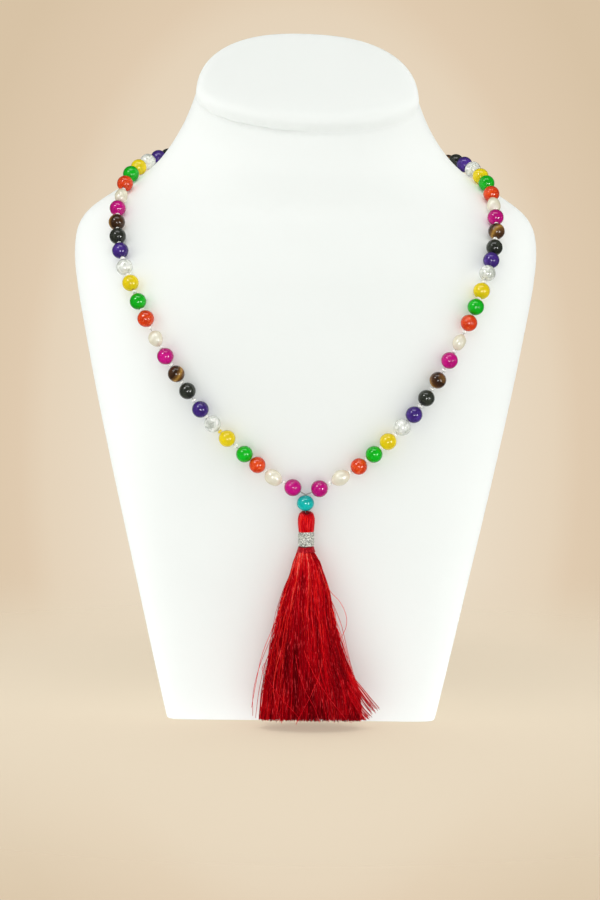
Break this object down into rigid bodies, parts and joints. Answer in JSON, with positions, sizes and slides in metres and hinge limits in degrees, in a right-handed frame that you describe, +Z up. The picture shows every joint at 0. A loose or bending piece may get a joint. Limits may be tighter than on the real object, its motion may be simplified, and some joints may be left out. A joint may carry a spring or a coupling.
{
  "type": "bead mala with a silk tassel on a plain neck bust",
  "caption": "Round-bead prayer necklace in repeating gemstone colours with a turquoise guru bead and a red silk tassel, worn by a plain white neck bust.",
  "frame": {"origin": "middle of the bust's flat base, on the surface it stands on", "axes": "+Z up, -Y is the front that the tassel hangs on, +X is to the right seen from the front"},
  "size_m": [0.2364, 0.1787, 0.3456],
  "materials": {
    "bust_white": "satin leatherette over a moulded body",
    "magenta_stone": "polished dyed stone",
    "pearl": "pearl lustre",
    "orange_stone": "polished dyed stone",
    "green_stone": "polished dyed stone",
    "yellow_stone": "polished dyed stone",
    "clear_crystal": "polished clear quartz",
    "violet_stone": "polished dyed stone",
    "black_stone": "polished onyx",
    "tiger_eye": "polished tiger's eye",
    "turquoise_stone": "polished turquoise",
    "seed_white": "opaque white seed bead",
    "thread_grey": "twisted thread",
    "tassel_red": "lustrous silk floss",
    "wrap_red": "wound thread",
    "band_silver": "fine metallic thread, wound"
  },
  "bodies": {
    "root": {"neck_bust": "bust_white", "left_run_1": "magenta_stone", "left_run_2": "magenta_stone", "left_run_3": "magenta_stone", "left_run_4": "magenta_stone", "right_run_1": "magenta_stone", "right_run_2": "magenta_stone", "right_run_3": "magenta_stone", "right_run_4": "magenta_stone", "guru_thread": "thread_grey", "guru_bead": "turquoise_stone", "tassel_head": "tassel_red", "tassel_band": "band_silver", "tassel_wrap": "wrap_red", "tassel_skirt": "tassel_red"}
  },
  "joints": []
}
